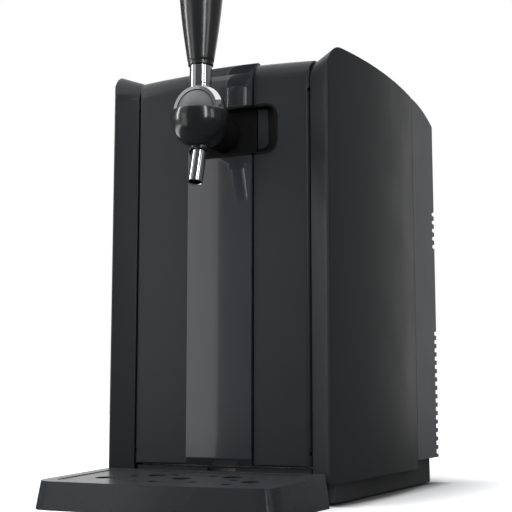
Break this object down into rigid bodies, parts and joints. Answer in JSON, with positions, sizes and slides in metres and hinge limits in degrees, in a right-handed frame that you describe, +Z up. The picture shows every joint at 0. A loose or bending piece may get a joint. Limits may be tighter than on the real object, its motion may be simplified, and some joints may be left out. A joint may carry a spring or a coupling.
{
  "type": "mini keg beer dispenser",
  "caption": "Countertop beer cooler and tap for a mini keg: bowed grey body, hinged front doors over a keg chamber, chrome tap with a long lever, and a drip tray.",
  "frame": {"origin": "middle of the outer box, on the table", "axes": "+Z up, the tap side towards -Y, +X to the right seen from the front"},
  "size_m": [0.263, 0.4875, 0.5533],
  "materials": {
    "satin_grey": "satin",
    "gloss_black": "gloss",
    "matte_black": "matte",
    "white_plastic": "satin",
    "white_foam": "matte",
    "black_rubber": "matte",
    "chrome": "polished",
    "aluminium": "satin",
    "steel": "satin",
    "brass": "satin",
    "white_ceramic": "matte",
    "green_board": "satin"
  },
  "bodies": {
    "machine": {"base_plinth": "matte_black", "rubber_foot_1": "black_rubber", "rubber_foot_2": "black_rubber", "rubber_foot_3": "black_rubber", "rubber_foot_4": "black_rubber", "left_side_cover": "satin_grey", "right_side_cover": "satin_grey", "rear_housing": "satin_grey", "rear_screw_1": "steel", "rear_screw_2": "steel", "rear_screw_3": "steel", "rear_screw_4": "steel", "top_cover": "satin_grey", "display_window": "gloss_black", "display_board": "green_board", "chamber_liner": "white_plastic", "chamber_insulation": "white_foam", "mouth_gasket": "black_rubber", "keg_support": "matte_black", "air_nozzle": "brass", "cold_plate": "aluminium", "thermoelectric_module": "white_ceramic", "heat_sink": "aluminium", "fan_frame": "matte_black", "power_supply_board": "green_board", "air_pump": "matte_black", "air_hose": "black_rubber", "mains_inlet": "matte_black", "left_upper_hinge_arm": "steel", "left_lower_hinge_arm": "steel", "right_upper_hinge_arm": "steel", "right_lower_hinge_arm": "steel"},
    "main_door": {"main_door_shell": "satin_grey", "front_strip": "gloss_black", "main_door_liner": "white_plastic", "tap_recess_cup": "matte_black", "tap_neck": "gloss_black", "shank_nut": "brass", "tap_bowl": "gloss_black", "tap_core": "satin_grey", "spout_boss": "gloss_black", "spout": "chrome"},
    "side_door": {"side_door_shell": "satin_grey", "side_door_liner": "white_plastic", "grip_scoop": "matte_black"},
    "tap_lever": {"lever_pin": "steel", "lever_hood": "chrome", "lever_ferrule": "chrome", "tap_handle": "gloss_black", "handle_cap": "gloss_black"},
    "fan": {"fan_rotor": "matte_black"},
    "button": {"power_button": "gloss_black"},
    "tray": {"drip_tray": "satin_grey"},
    "grid": {"drip_grid": "satin_grey"}
  },
  "joints": [
    {"name": "main_door_hinge", "type": "hinge", "parent": "machine", "child": "main_door", "pos_m": [-0.0904, -0.096, 0.2], "axis": [0, 0, -1], "range_deg": [0, 100]},
    {"name": "side_door_hinge", "type": "hinge", "parent": "machine", "child": "side_door", "pos_m": [0.0904, -0.096, 0.2], "axis": [0, 0, 1], "range_deg": [0, 100]},
    {"name": "tap_lever_pivot", "type": "hinge", "parent": "main_door", "child": "tap_lever", "pos_m": [0, -0.144, 0.3725], "axis": [1, 0, 0], "range_deg": [0, 45]},
    {"name": "fan_spin", "type": "hinge", "parent": "machine", "child": "fan", "pos_m": [0, 0.182, 0.105], "axis": [0, 1, 0], "continuous": true},
    {"name": "button_press", "type": "slide", "parent": "machine", "child": "button", "axis": [0, 0, -1], "range_m": [0, 0.001], "stiffness_N_per_m": 800},
    {"name": "tray_slide", "type": "slide", "parent": "machine", "child": "tray", "axis": [0, -1, 0], "range_m": [0, 0.15]},
    {"name": "grid_lift", "type": "slide", "parent": "tray", "child": "grid", "axis": [0, 0, 1], "range_m": [0, 0.04]}
  ]
}
